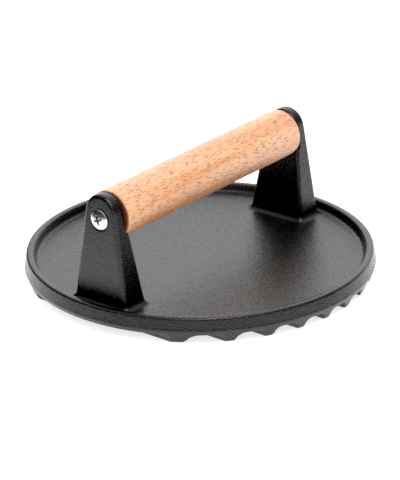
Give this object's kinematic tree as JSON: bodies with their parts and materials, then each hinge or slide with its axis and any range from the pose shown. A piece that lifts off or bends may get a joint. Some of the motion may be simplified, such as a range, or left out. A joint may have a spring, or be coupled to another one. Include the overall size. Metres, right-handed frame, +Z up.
{
  "type": "patty press",
  "caption": "Round cast-iron patty press with a rimmed plate, ribbed underside and a wooden grip held between two cast posts.",
  "frame": {"origin": "centre of the round plate, on the surface that the ribs stand on", "axes": "+Z up out of the plate, +X along the grip from the left post to the right one, ribs along Y"},
  "size_m": [0.203, 0.203, 0.0754],
  "materials": {
    "cast_iron": "satin black coating over fine sand-cast texture",
    "beech": "smooth turned beech, lightly oiled, short dark ray flecks along the grip",
    "zinc_steel": "bright zinc plating"
  },
  "bodies": {
    "press": {"press_casting": "cast_iron", "tie_rod": "zinc_steel", "end_screw_left": "zinc_steel", "end_screw_right": "zinc_steel"},
    "grip": {"wooden_grip": "beech"}
  },
  "joints": [
    {"name": "grip_spin", "type": "hinge", "parent": "press", "child": "grip", "pos_m": [0, 0, 0.0613], "axis": [1, 0, 0], "continuous": true}
  ]
}
